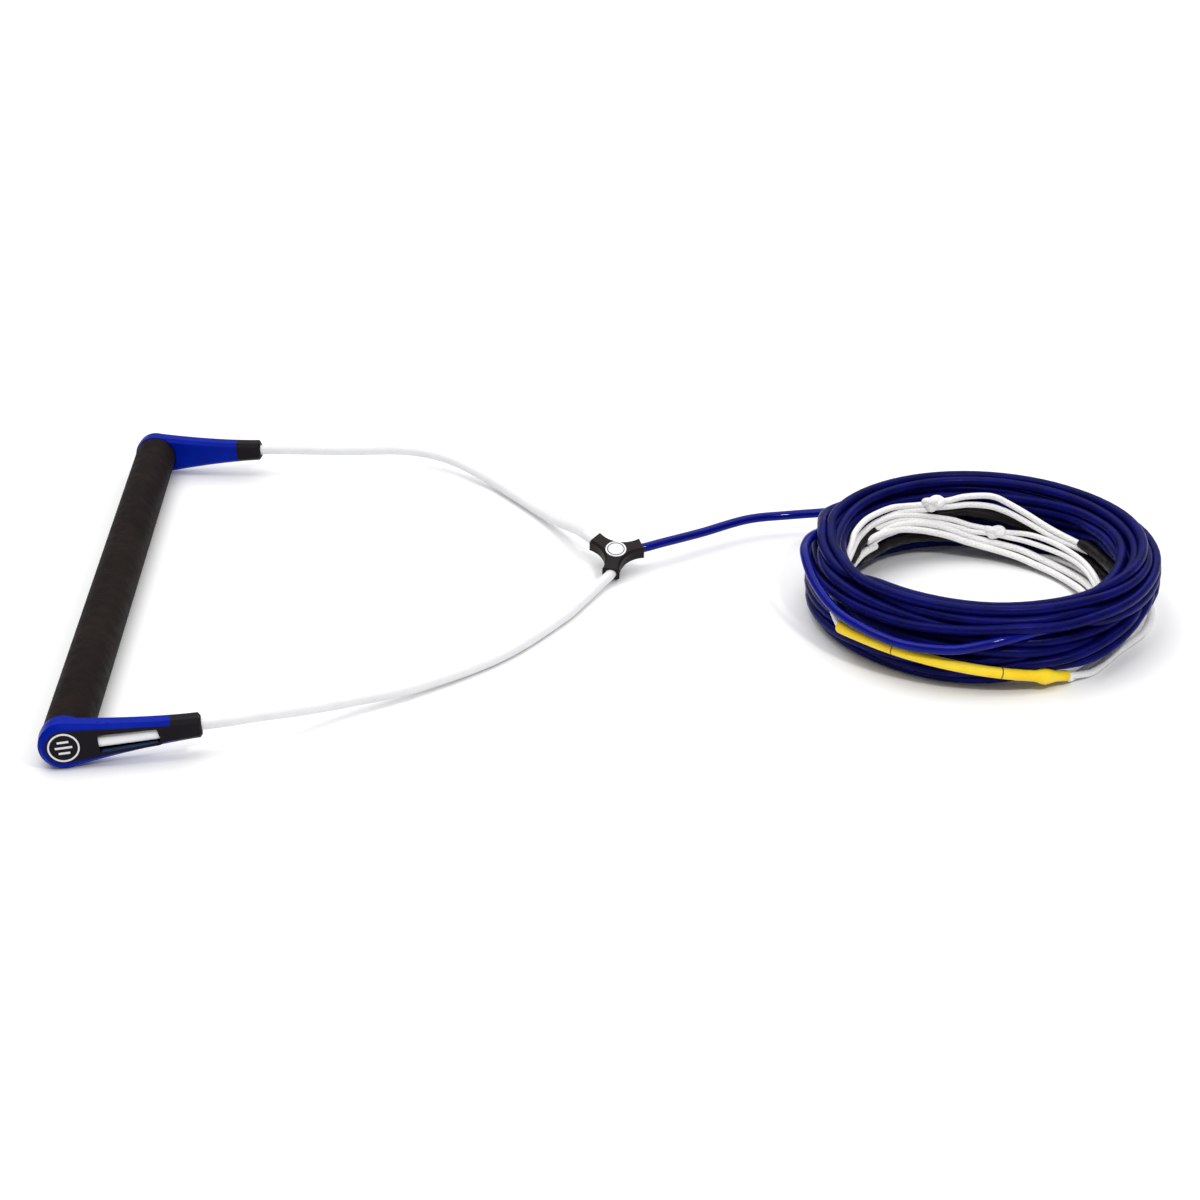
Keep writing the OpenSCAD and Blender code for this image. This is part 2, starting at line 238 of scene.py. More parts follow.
def grip_material():
    """Foam with fine slanting ribs, as on a thread with many starts, and a soft wear pattern."""
    s = Shader("grip_foam", Specular_IOR_Level=0.04, Sheen_Weight=0.004, Sheen_Roughness=0.4)
    obj = s.coords()
    part = s.node("ShaderNodeSeparateXYZ")
    s.link(obj, part.inputs[0])
    angle = s.math("ARCTAN2", part.outputs[2], part.outputs[0])
    along = s.math("MULTIPLY", part.outputs[1], 2 * math.pi / (RIB_PITCH * MM))
    ribs = s.math("SINE", s.math("ADD", along, s.math("MULTIPLY", angle, -RIB_STARTS)))
    height = s.math("ADD", s.math("MULTIPLY", ribs, 0.5), 0.5)
    blotch = s.noise(obj, 38, 4)
    base = s.mix(s.scale_to(blotch, 0, 1, 0.3, 0.72),
                 (0.0108, 0.0070, 0.0074), (0.0180, 0.0118, 0.0098))
    # the grooves between the ribs are painted darker: painted shade
    s.colour(s.mix(s.scale_to(height, 0.6, 0, 0.0, 0.8), base, (0.0045, 0.0032, 0.0036)))
    s.roughness(s.scale_to(s.noise(obj, 160, 3), 0.55, 0.75))
    under = s.bump(s.noise(obj, 900, 3), 0.25, 0.12)
    s.bump(height, 0.35, 0.24, under)


def label_material():
    """Yellow shrink sleeve with two thin black rings; the printed words are left out."""
    s = Shader("label_yellow", Specular_IOR_Level=0.3)
    obj = s.coords()
    uv = s.node("ShaderNodeSeparateXYZ")
    s.link(s.coords("UV"), uv.inputs[0])
    base = s.mix(s.scale_to(s.noise(obj, 80, 4), 0, 1, 0.35, 0.7),
                 (0.93, 0.62, 0.008), (0.98, 0.74, 0.03))
    for at in LABEL_RINGS:
        near = s.math("ABSOLUTE", s.math("SUBTRACT", uv.outputs[1], at * MM))
        base = s.mix(s.math("LESS_THAN", near, RING_HALF * MM), base, (0.03, 0.025, 0.01))
    s.colour(base)
    s.roughness(s.scale_to(s.noise(obj, 200, 3), 0.3, 0.5))
    s.bump(s.noise(s.mapping(s.coords("UV"), (3, 70, 1)), 4, 3), 0.35, 0.5)


def sleeve_material():
    """Black shrink tube with folds round it; the printed words are left out."""
    s = Shader("sleeve_black", Specular_IOR_Level=0.12)
    obj = s.coords()
    s.colour(s.mix(s.scale_to(s.noise(obj, 60, 4), 0, 1, 0.3, 0.7),
                   (0.005, 0.0045, 0.005), (0.014, 0.011, 0.010)))
    s.roughness(s.scale_to(s.noise(obj, 150, 3), 0.3, 0.55))
    folds = s.noise(s.mapping(s.coords("UV"), (2, 110, 1)), 3, 4)
    s.bump(folds, 0.5, 0.7)


def metal_material():
    """The hidden tube's drawn metal, with fine streaks along it."""
    s = Shader("tube_metal", Metallic=1.0)
    obj = s.coords()
    streak = s.noise(s.mapping(obj, (400, 12, 400)), 3, 3)
    s.colour(s.ramp(streak, ((0.3, (0.58, 0.58, 0.60)), (0.7, (0.74, 0.74, 0.76)))))
    s.roughness(s.scale_to(streak, 0.28, 0.45))
    s.bump(streak, 0.2, 0.1)


# The same line in two copies: on the coil a darker navy, painted shade, and on the lead and the strand across the
# hank a brighter blue, painted light; the glossier finish there stands for the coat smoothed where the line is pulled
# tight.
line_material("line_matt", (0.0010, 0.0015, 0.040), (0.0028, 0.0036, 0.110), 0.34, 0.06, 0.22)
line_material("line_glossy", (0.0003, 0.0022, 0.135), (0.0005, 0.0040, 0.205), 0.11, 0.15, 0.04)
braid_material("leg_white", (0.78, 0.78, 0.785), (0.72, 0.72, 0.75), 0.30, 0.05, 0.03, 0.3, 6, 5.5)
# the same cord as leg_white, painted brighter where it runs in the shade of the caps' windows: painted light
braid_material("window_cord_lit_white", (0.93, 0.93, 0.935), (0.88, 0.88, 0.91), 0.30, 0.05, 0.03, 0.4, 6, 5.5)
braid_material("braid_white", (0.90, 0.89, 0.875), (0.78, 0.76, 0.745), 0.5, 0.35, 0.22)
braid_material("clear_tube", (0.90, 0.89, 0.88), (0.74, 0.72, 0.74), 0.30, 0.3, 0.15, 0.5)
plastic_material("cap_blue", (0.0001, 0.0085, 0.245), (0.0002, 0.0150, 0.345), 0.30, 0.12, 0.04)
plastic_material("cap_black", (0.0075, 0.0058, 0.0085), (0.0120, 0.0095, 0.0130), 0.42, 0.3, 0.07)
# the lip under each window: black plastic painted blue-grey, a painted highlight on its sloping face
plastic_material("window_lip", (0.006, 0.018, 0.060), (0.012, 0.036, 0.105), 0.4, 0.3, 0.2)
plastic_material("mark_white", (0.72, 0.72, 0.76), (0.84, 0.84, 0.86), 0.42, 0.12, 0.3)
plastic_material("joiner_black", (0.0090, 0.0070, 0.0064), (0.0160, 0.0120, 0.0110), 0.40, 0.25, 0.1)
grip_material()
label_material()
sleeve_material()
metal_material()


# ---------------------------------------------------------------- mesh helpers


def add_mesh(name, verts, faces, mat, uvs=None):
    """A smooth-shaded mesh object from points in mm. uvs is one pair a vertex."""
    mesh = bpy.data.meshes.new(name)
    mesh.from_pydata([tuple(c * MM for c in v) for v in verts], [], faces)
    mesh.polygons.foreach_set("use_smooth", [True] * len(mesh.polygons))
    if uvs is not None:
        layer = mesh.uv_layers.new(name="UVMap")
        for loop in mesh.loops:
            layer.data[loop.index].uv = uvs[loop.vertex_index]
    mesh.validate()
    mesh.update()
    mesh.materials.append(MAT[mat])
    obj = bpy.data.objects.new(name, mesh)
    scene.collection.objects.link(obj)
    return obj


def hermite(p, i, t):
    """The Catmull-Rom curve of part.scad between points i and i + 1."""
    a, b, c, d = p[max(i - 1, 0)], p[i], p[i + 1], p[min(i + 2, len(p) - 1)]
    m, n = (c - a) / 2, (d - b) / 2
    return ((2 * t**3 - 3 * t**2 + 1) * b + (t**3 - 2 * t**2 + t) * m
            + (3 * t**2 - 2 * t**3) * c + (t**3 - t**2) * n)


def even(points, step):
    """The same line with its points a step apart."""
    pts = np.array([tuple(p) for p in points], float)
    seg = np.linalg.norm(np.diff(pts, axis=0), axis=1)
    s = np.r_[0, np.cumsum(seg)]
    count = max(3, int(round(s[-1] / step)) + 1)
    at = np.linspace(0, s[-1], count)
    return [Vector([float(np.interp(a, s, pts[:, k])) for k in range(3)]) for a in at]


def smooth(points, step=3.0):
    """A smooth curve through the points, step mm between its own points."""
    p = [Vector(q) for q in points]
    fine = [hermite(p, i, t / 24) for i in range(len(p) - 1) for t in range(24)] + [p[-1]]
    return even(fine, step)


def path_length(path):
    return sum((b - a).length for a, b in zip(path, path[1:]))


def frames(path):
    """A pair of cross axes at each point, carried along the path without twist."""
    out = []
    side = None
    for i in range(len(path)):
        h = (path[min(i + 1, len(path) - 1)] - path[max(i - 1, 0)]).normalized()
        if side is None:
            side = h.cross(Vector((0, 0, 1)))
            if side.length < 1e-3:
                side = h.cross(Vector((1, 0, 0)))
        side = (side - h * side.dot(h)).normalized()
        out.append((h, side, h.cross(side)))
    return out


CAP_STEPS, BULGE = (0.35, 0.7, 0.93), 0.6              # a round end: its rings' sizes, its height in radii


def tube(name, path, radius, mat, sides=14, start="round", end="round"):
    """A round cord through the path, in mm. radius is a number, or a function of the distance along
    the path and the angle round it. Each end is round or flat."""
    verts, faces, uvs = [], [], []
    along = 0.0
    rings = []
    fr = frames(path)
    size = radius if callable(radius) else (lambda s, a: radius)
    total = path_length(path)

    def ring(at, f, s, scale):
        base = len(verts)
        for k in range(sides + 1):
            a = 2 * math.pi * k / sides
            r = size(s, a) * scale
            verts.append(at + f[1] * (math.cos(a) * r) + f[2] * (math.sin(a) * r))
            uvs.append((k / sides, s * MM))
        rings.append(base)

    r0, r1 = size(0, 0), size(total, 0)
    if start == "round":
        for c in CAP_STEPS:
            ring(path[0] - fr[0][0] * r0 * math.sqrt(1 - c * c) * BULGE, fr[0], 0, c)
    for i, p in enumerate(path):
        if i:
            along += (p - path[i - 1]).length
        ring(p, fr[i], along, 1)
    if end == "round":
        for c in reversed(CAP_STEPS):
            ring(path[-1] + fr[-1][0] * r1 * math.sqrt(1 - c * c) * BULGE, fr[-1], total, c)
    for a, b in zip(rings, rings[1:]):
        faces += [(a + k, b + k, b + k + 1, a + k + 1) for k in range(sides)]
    for base, at, first in ((rings[0], path[0], True), (rings[-1], path[-1], False)):
        middle = len(verts)
        h = fr[0][0] if first else fr[-1][0]
        bulge = (BULGE * (r0 if first else r1)) if (start if first else end) == "round" else 0
        verts.append(at - h * bulge if first else at + h * bulge)
        uvs.append((0.5, uvs[base][1]))
        for k in range(sides):
            pair = (base + k, base + k + 1) if first else (base + k + 1, base + k)
            faces.append((middle, *pair))
    obj = add_mesh(name, verts, faces, mat, uvs)
    weld(obj)
    return obj


def weld(obj):
    """Joins the seam's double points; the UVs stay apart because they belong to the corners."""
    bm = bmesh.new()
    bm.from_mesh(obj.data)
    bmesh.ops.remove_doubles(bm, verts=bm.verts, dist=1e-6)
    bmesh.ops.recalc_face_normals(bm, faces=bm.faces)
    bm.to_mesh(obj.data)
    bm.free()


def give(obj, body, *nodes):
    """The piece rides on a body and stands for CAD nodes."""
    if body:
        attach(obj, body)
    if nodes:
        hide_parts(*nodes)
    return obj


# ---------------------------------------------------------------- places, as in part.scad


def arm_point(side, d):
    """A point on the middle line of a cap's arm, d from the grip's axis. side is -1 near, 1 far."""
    return Vector((d * math.cos(LEAN) * math.cos(RISE),
                   side * (GRIP_LEN / 2 + CAP_T / 2 - d * math.sin(LEAN)),
                   d * math.cos(LEAN) * math.sin(RISE)))


JOINER = Vector((302, 24.5, FLOOR + 11.7))
JOINER_TILT, JOINER_ARM, JOINER_T = rad(20.4), 16.7, 9.2
ARM_NEAR, ARM_FAR, ARM_LEAD = 257, 137, 17             # where the joiner's arms point, in degrees


def joiner_point(a, d):
    """A point in the joiner's own plane, at angle a and d from its centre."""
    a = rad(a)
    return JOINER + d * Vector((math.cos(a), math.sin(a) * math.cos(JOINER_TILT),
                                math.sin(a) * math.sin(JOINER_TILT)))


def lift(route):
    """Route points given as x, y, height over the surface."""
    return [Vector((x, y, z + FLOOR)) for x, y, z in route]


def round_hank(route):
    """Route points given as angle, distance outside the hank's mean radius, height."""
    return [Vector((HANK.x + (HANK_R + o) * math.cos(rad(a)),
                    HANK.y + (HANK_R + o) * math.sin(rad(a)), FLOOR + z))
            for a, o, z in route]


# ---------------------------------------------------------------- bridle cords

NEAR = [(86, -184.5, 18), (98, -179, 17), (122, -164, 12), (148, -147, 7.5), (185, -126, 4.5), (230, -91, 3.6),
        (265, -47, 3.6), (281, -20, 3.8), (291, -2, 4.6)]
FAR = [(86, 187, 17.8), (98, 188, 17), (130, 190, 15), (163, 193, 13.5), (184, 189, 12), (201, 180, 10),
       (217, 166, 7), (232, 148, 5), (256, 108, 5), (269, 82, 8), (279, 60, 13), (285, 43, 16.2)]
LEAD = [(331, 35, 14), (357, 51, 13), (388, 67.5, 14), (416, 73, 14), (440, 72, 16), (468, 70, 20), (497, 69, 24)]

for word, side, route, turn in (("near", -1, NEAR, ARM_NEAR), ("far", 1, FAR, ARM_FAR)):
    # the cord starts inside the arm and ends inside the joiner
    start = [arm_point(side, d) for d in (54, 62, ARM_LEN + 1)]
    finish = [joiner_point(turn, JOINER_ARM), joiner_point(turn, JOINER_ARM - 8)]
    line = smooth(start + lift(route) + finish, 2.5)
    leg = tube("bridle_cord_" + word, line, LEG_D / 2, "leg_white", 20)
    give(leg, None, "leg_" + word)
    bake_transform(leg)

lead_line = smooth([joiner_point(ARM_LEAD, d) for d in (8.5, JOINER_ARM, 22)] + lift(LEAD[:-1]), 2.5)
lead = tube("lead_cord", lead_line, LINE_D / 2, "line_glossy", 20)
give(lead, None, "lead_line")
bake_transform(lead)


# ---------------------------------------------------------------- routes laid over and under the hank

CROSSING = [(148, -2, 33), (156, -0.5, 37), (164, 3, 41), (171, 7.5, 44), (178, 12, 45.2), (185, 15, 43.5),
            (196, 15.8, 36), (208, 16, 29.5), (220, 17.5, 27.8), (235, 18, 26), (249, 16.6, 27.5), (258, 14.4, 31),
            (266, 10.6, 33.6), (274, 6.2, 35), (283, 3.2, 35.5), (292, 2, 35.5)]
cross_line = smooth(round_hank(CROSSING), 2.5)

# the label sleeve is an arc in a plane of its own, tilted about a level axis through label_at
LABEL_R, LABEL_FROM, LABEL_TO = 92.8, 209.3, 297.2
label_axis = Vector((math.cos(rad(131.6)), math.sin(rad(131.6)), 0))
label_turn = Matrix.Rotation(rad(12.08), 3, label_axis)
label_at = Vector((503.9, -50.6, FLOOR + 0.64))


def label_point(a):
    return label_at + label_turn @ Vector((LABEL_R * math.cos(rad(a)), LABEL_R * math.sin(rad(a)), 0))


label_path = even([label_point(LABEL_FROM + (LABEL_TO - LABEL_FROM) * i / 60) for i in range(61)], 1.6)
label_len = path_length(label_path)

splice_line = smooth([label_point(214), label_point(209), *round_hank([
    (204.5, 11.2, 23.5), (201.5, 7.6, 25), (197, 4.4, 27), (190, 2.6, 28), (182, 1.5, 28.5)])], 1.6)

# the boat-end eye: its middle line, its two sides beside that, and its wider end
EYE = [(294.4, 4.5, 2.6), (298, 2.6, 2.3), (303, 0.8, 2.2), (309, -1.5, 2.2), (316, -3.2, 2.2), (325, -2.5, 2.2),
       (334, 0.8, 2.2), (343, 3.8, 2.2), (353, 6.6, 2.2), (362, 7.9, 2.2)]
out_side = [(a, o + 2.3, z) for a, o, z in EYE] + [(372, 10.6, 2.2), (381, 10.6, 2.2)]
back_side = [(a, o - 2.2, z) for a, o, z in EYE[:-1]] + [(361, 3.2, 2.2), (370, -3.2, 2.2), (379, -6.6, 2.2)]
tip = [(378, 10.7, 2.2), (382.8, 10.8, 2.2), (386.4, 10.7, 2.2), (389.4, 9.4, 2.2), (391.4, 6.2, 2.2),
       (392.3, 1.9, 2.2), (391.8, -2.5, 2.2), (389.9, -5.7, 2.2), (386.8, -7, 2.2), (382.6, -6.9, 2.2),
       (377, -5.6, 2.2)]

# the black sleeves against the hank's inner wall, each with its radius
SLEEVES = {
    "sleeve_left": (3.15, [(168, -14.5, 24.5), (160.5, -16, 25.7), (153.4, -16, 27.6), (143.8, -16.3, 29),
                           (133.8, -16.7, 29), (124.5, -17, 27.9)]),
    "sleeve_low": (3.15, [(150.9, -17, 17.2), (139.1, -17, 15.1), (127.9, -17, 16), (117.1, -17.1, 15.9),
                          (106.2, -17.2, 14.9), (96.2, -17.3, 13.5), (86.6, -17.4, 12.2), (77.1, -17.6, 10.5),
                          (67.5, -17.6, 8.6), (57.6, -17.6, 6.3), (49, -17.6, 5.2)]),
    "sleeve_up": (3.15, [(100, -16, 28.2), (94.3, -16.1, 28.7), (87.4, -16.1, 29.8), (80.4, -16.2, 28.7),
                         (73.4, -16.3, 27.4), (64, -16.4, 25.2), (51.6, -16.6, 21.6), (37.7, -16.8, 18.5),
                         (24.6, -16.9, 17.4), (11.8, -17, 17.3), (1, -17, 18.6)]),
    "sleeve_end": (3.4, [(26, -18.8, 27.2), (20.5, -18.4, 26.9), (15.5, -18, 26.8), (9.5, -17.6, 26.6),
                         (1.2, -17, 27.2), (-8, -16.2, 29.5), (-13, -15.6, 31)]),
}

# the braided cords of each CAD node, each with its diameter. A take-off is two cords lying together,
# from the hank's wall on the left to under it on the right. The thin ones stand for no CAD node
BRAIDS = {
    "takeoff_a": [
        ("a_upper", 3.7, [(172, -12.4, 29), (165, -15, 35.5), (159.1, -15.5, 39.6), (146.2, -15.6, 40.1),
                          (135.4, -15.7, 39.8), (125.2, -16, 39.5), (116.5, -16.4, 37.9), (108.5, -17, 37),
                          (102.3, -17.6, 37.6), (95.1, -18, 38.5), (88.2, -18.4, 40.7), (78.9, -19.2, 42.2),
                          (72.9, -19.7, 41.8), (66.6, -20, 38.8), (57.4, -20.2, 34.2), (44.5, -20, 28.6),
                          (30, -19.4, 26.6), (18, -18.4, 27.6)]),
        ("a_lower", 3.7, [(174, -12.4, 26.5), (166.5, -15.6, 31.8), (153.9, -16, 32.8), (141.5, -16.4, 34.2),
                          (131.9, -17, 34.9), (122.3, -17.4, 35.3), (113.8, -17.6, 34.4), (107.2, -18, 33.8),
                          (102.3, -18.4, 34.5), (95, -18.8, 34.6), (85.6, -19.3, 35.8), (76.1, -20, 35.7),
                          (69.9, -20.4, 34.3), (63.6, -20.8, 32.1), (52.8, -20.9, 27.6), (39.5, -20.4, 23.6),
                          (26, -19.4, 23.8), (17, -18.4, 25.6)])],
    "takeoff_b": [
        ("b_upper", 3.3, [(139, -16.6, 34.6), (131.7, -18, 35), (125.7, -18.6, 34.9), (117.2, -19, 33),
                          (108.9, -19.4, 30.6), (99.9, -19.9, 28), (92.4, -20.4, 25.9), (85, -21, 22.8),
                          (77.6, -21.5, 21.3), (72, -21.9, 20.6), (66.4, -22.2, 20.4), (54.6, -22.9, 22.2),
                          (43, -23.5, 22.2), (31.3, -23.9, 21.5), (16.9, -24, 20.6), (4, -23.5, 18.5),
                          (-9, -21.5, 15), (-20, -18.4, 10.5)]),
        ("b_lower", 3.3, [(138, -17.6, 31.2), (131.5, -19, 31.7), (122.2, -19.6, 31.2), (113.3, -20.2, 29),
                          (105.1, -20.7, 26.4), (97.4, -21.2, 24), (89.9, -21.7, 21.3), (83.6, -22.2, 19),
                          (77.5, -22.6, 18.6), (71.9, -22.9, 18.4), (66.1, -23.1, 17.8), (55.3, -23.8, 17.6),
                          (40.4, -24.6, 17.4), (26.3, -24.9, 17.8), (13, -24.9, 17.4), (0, -24, 14.8),
                          (-12, -21.6, 11), (-21, -18.6, 6.8)])],
    "takeoff_c": [
        ("c_upper", 4.2, [(138, -18.6, 27.5), (130.1, -20.5, 29.6), (118.5, -21, 28.6), (109.7, -21.5, 26.6),
                          (100.2, -22, 23.2), (92.4, -22.4, 19.5), (84.7, -22.8, 15.9), (77.1, -23.2, 13.6),
                          (68.2, -23.6, 12.3), (57.5, -24, 11.2), (47.4, -24.4, 9.3), (37.8, -24.7, 8.4),
                          (25, -24.9, 8.4), (10.8, -25, 9.8), (-3, -23.6, 9.6), (-15, -20.8, 7.2)]),
        ("c_lower", 4.2, [(147, -18.6, 27.6), (138.6, -21, 28.6), (125.2, -22.4, 27), (114.2, -23.4, 24),
                          (104.3, -24.2, 20.6), (95, -24.8, 17), (87.3, -25.3, 13.6), (78.3, -25.8, 10.9),
                          (69.2, -26.2, 9), (58.4, -26.5, 7.2), (48.1, -26.8, 5.3), (36.9, -27.2, 4.6),
                          (25.6, -27.5, 4.3), (11.3, -27.6, 5.2), (-3, -26, 5), (-15, -22.6, 3.2)])],
    "braid_tail": [
        ("tail_upper", 3.6, [(52, -19.6, 6.8), (43, -20.6, 9.8), (32, -20.9, 11.2), (21, -21, 12), (10, -21, 12.6),
                             (-2, -20, 12), (-13, -18, 10)]),
        ("tail_lower", 3.6, [(51, -17.6, 3.9), (42, -18.6, 5), (31, -19.4, 6.2), (20, -19.8, 6.6), (8, -19.8, 6.6),
                             (-3, -19, 6.2)])],
    "thin": [
        ("left_thin", 3.0, [(146, -17.4, 21.3), (139.9, -18.4, 23.2), (132.9, -19, 24.2), (126.1, -19.4, 24.1),
                            (120.1, -19.8, 24.6), (110.4, -20.2, 23.2), (99.7, -20.6, 19.4), (92, -20.6, 15.8)]),
        ("left_end", 4.6, [(163, -15.8, 20.6), (153.5, -17.6, 21.2), (146.8, -18.4, 21.1), (139, -18.6, 20.4)])],
}


# ---------------------------------------------------------------- the hank's turns

TURNS, STATIONS = 26, 72
START_ANGLE = 92.0
BUNDLE_W, BUNDLE_H = 24.6, 49.8        # the section: its width, and its height as it lies
SPACING = 5.85                         # between the centres of two turns that touch
HALF_W = 9.4                           # from the section's middle to its outermost turn
ENTRY, END = (HALF_W, 24.0), (0.0, 25.0)               # where the line enters the section and ends in it
LEAD_IN, LEAD_OUT = 12, 10             # points held at those two places
STEPS, SETTLING = 280, 150             # of the relaxation, and how many of them pull harder
EARLY_PULL, LATE_PULL = 0.06, 0.01     # towards the place that a point wants
PUSH, PUSH_FIXED, EVEN_OUT = 0.42, 0.85, 0.22          # off other turns, off other cords, towards the two next points


def crossings(path):
    """Where a path crosses each station's half-plane, as (offset, height) or None."""
    p = np.array([tuple(q) for q in path]) - np.array(tuple(HANK))
    a = np.degrees(np.unwrap(np.arctan2(p[:, 1], p[:, 0])))
    r, z = np.hypot(p[:, 0], p[:, 1]) - HANK_R, p[:, 2]
    if a[0] > a[-1]:
        a, r, z = a[::-1], r[::-1], z[::-1]
    out = []
    for s in range(STATIONS):
        at = START_ANGLE - 360 * s / STATIONS
        at += 360 * math.ceil((a[0] - at) / 360)
        out.append((float(np.interp(at, a, r)), float(np.interp(at, a, z))) if at <= a[-1] else None)
    return out


def section_places(rng):
    """A place in the section for each turn, row by row from the bottom, with some swapped."""
    places = []
    for row in range(8):
        columns = (-9.2, -3.1, 3.1, 9.2) if row % 2 == 0 else (-6.2, 0.0, 6.2)
        places += [(u, 3.6 + row * 6.0) for u in (columns if row // 2 % 2 == 0 else columns[::-1])]
    places = places[:TURNS + 2]
    order = list(range(len(places)))
    for _ in range(26):
        a = int(rng.integers(0, len(order) - 3))
        b = a + int(rng.integers(1, 4))
        order[a], order[b] = order[b], order[a]
    return np.array([places[i] for i in order])[:TURNS + 1]


def wandering(t, rng):
    """Where the line wants to be after t turns: it moves from place to place and drifts about."""
    spots = section_places(rng)
    k = np.minimum(t.astype(int), TURNS - 1)
    shift = rng.uniform(0.0, 0.7, TURNS)
    f = np.clip((t - k - shift[k]) / 0.3, 0, 1)
    f = f * f * (3 - 2 * f)
    target = spots[k] * (1 - f)[:, None] + spots[k + 1] * f[:, None]
    for _ in range(5):
        turns_each = rng.uniform(0.35, 1.6)
        phase = rng.uniform(0, 2 * math.pi, 2)
        size = rng.uniform(0.8, 1.9, 2)
        drift = 2 * math.pi * t * turns_each
        target += np.c_[size[0] * np.sin(drift + phase[0]), size[1] * 1.5 * np.sin(drift * 0.83 + phase[1])]
    return target


def hank_turns(others):
    """The whole line as (angle, offset, height) points. Each turn starts in its own place of the
    section, is pushed off its neighbours and off the other cords, and is kept inside the section.
    others is a list of (crossings, gap), the gap being between centres."""
    total = TURNS * STATIONS + 1
    point = np.arange(total)
    t = point / STATIONS
    target = wandering(t, np.random.default_rng(11))
    # the line comes in on the outer side and ends in the middle of the bundle
    blend = np.clip((point - LEAD_IN) / 20, 0, 1)[:, None]
    target = np.array(ENTRY) * (1 - blend) + target * blend
    blend = np.clip((total - 1 - point - LEAD_OUT) / 24, 0, 1)[:, None]
    target = np.array(END) * (1 - blend) + target * blend
    i = np.arange(LEAD_IN)
    head = np.c_[ENTRY[0] + 4.8 * (1 - i / LEAD_IN) ** 2, np.full(LEAD_IN, ENTRY[1])]
    place = target.copy()

    # from 262 to 42 degrees the turns rise off the surface, and on the right they lean inwards too
    angle = START_ANGLE - 360 * t
    turn = np.mod(angle, 360)
    from_left, from_right, from_lean = np.mod(turn - 262, 360), np.mod(402 - turn, 360), np.mod(turn - 292, 360)
    rise = np.clip(np.minimum(from_left / 20, from_right / 16), 0, 1) * (from_left < 140)
    right = np.clip(np.minimum(from_lean / 38, from_right / 24), 0, 1) * (from_lean < 110)
    right = right * right * (3 - 2 * right)
    centre, reach = -4.2 * right, BUNDLE_W / 2 - LINE_D / 2 + 1.9 * right
    low, high = BUNDLE_W / 2, BUNDLE_H - BUNDLE_W / 2 + 0.8 * rise

    groups = [np.arange(s, total, STATIONS) for s in range(STATIONS)]
    fixed = [[(*path[s], gap) for path, gap in others if path[s] is not None] for s in range(STATIONS)]
    for step in range(STEPS):
        place += (EARLY_PULL if step < SETTLING else LATE_PULL) * (target - place)
        for s, g in enumerate(groups):
            p = place[g]
            d = p[:, None] - p[None]
            dist = np.sqrt((d**2).sum(-1)) + np.eye(len(g)) * 99
            push = np.clip(SPACING - dist, 0, None) / dist
            p = p + PUSH * (d * push[..., None]).sum(1)
            for u, w, gap in fixed[s]:
                d = p - np.array([u, w])
                dist = np.sqrt((d**2).sum(1)) + 1e-6
                p = p + PUSH_FIXED * d * (np.clip(gap - dist, 0, None) / dist)[:, None]
            place[g] = p
        # the section: two half circles and what lies between them
        middle = np.clip(place[:, 1], low, high)
        away = np.c_[place[:, 0] - centre, place[:, 1] - middle]
        far = np.sqrt((away**2).sum(1))
        keep = np.minimum(1, reach / np.maximum(far, 1e-6))
        place = np.c_[centre + away[:, 0] * keep, middle + away[:, 1] * keep]
        # no turn goes through the surface, nor on the raised side into the cords that lie under it
        out = np.clip((place[:, 0] + HALF_W) / 18, 0, 1)
        inner = np.clip((-8.5 - place[:, 0]) / 5, 0, 1)
        bottom = 2.9 + rise * (6.2 + 4.6 * out) + right * (14.5 * out + 24 * inner)
        place[:, 1] = np.maximum(place[:, 1], bottom)
        place[:LEAD_IN] = head
        place[-LEAD_OUT:] = END
        place[1:-1] += EVEN_OUT * (place[:-2] - 2 * place[1:-1] + place[2:])
    return [(float(a), float(u), float(w)) for a, (u, w) in zip(angle, place)]


round_about = [(crossings(cross_line), SPACING), (crossings(label_path), 6.6), (crossings(splice_line), 5.2),
               (crossings(round_hank(out_side)), 5.3), (crossings(round_hank(back_side)), 5.3)]
for wide, route in SLEEVES.values():
    round_about.append((crossings(smooth(round_hank(route))), wide + 3.0))
for cords in BRAIDS.values():
    for _, d, route in cords:
        round_about.append((crossings(smooth(round_hank(route))), d / 2 + 3.0))
hank_line = round_hank(hank_turns(round_about))
hank = tube("hank_line", hank_line, LINE_D / 2, "line_matt", 14)
give(hank, "hank", "line_coil")

# the bend between the lead and the hank
bend_line = smooth([Vector(p) for p in lift(LEAD[-3:])] + hank_line[:4], 2.5)
bend_line = bend_line[next(i for i, p in enumerate(bend_line) if p.x > 465):]
bend = tube("lead_bend", bend_line, LINE_D / 2, "line_glossy", 20)
give(bend, None)
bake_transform(bend)

cross = tube("crossing_line", cross_line, LINE_D / 2, "line_glossy", 20)
give(cross, "hank", "crossing_strand")


# ---------------------------------------------------------------- boat end: label sleeve, splice, eye


def label_radius(s, a):
    """A little wider at the left end, with a bump and some creases near the right one."""
    deg = LABEL_FROM + (LABEL_TO - LABEL_FROM) * s / label_len
    r = 3.15 + 0.6 * math.exp(-(((deg - 208.8) / 7) ** 2))
    r += 1.45 * math.exp(-(((deg - 288) / 2.8) ** 2)) * (1 + 0.12 * math.sin(2 * a))
    r += 0.10 * math.sin(s * 0.9 + 2 * a) * math.exp(-(((deg - 286) / 8) ** 2))
    return r


label = tube("label_cover", label_path, label_radius, "label_yellow", 22)
give(label, "hank", "label_sleeve")

splice = tube("boat_splice", splice_line, 2.1, "clear_tube", 14)
give(splice, "hank")

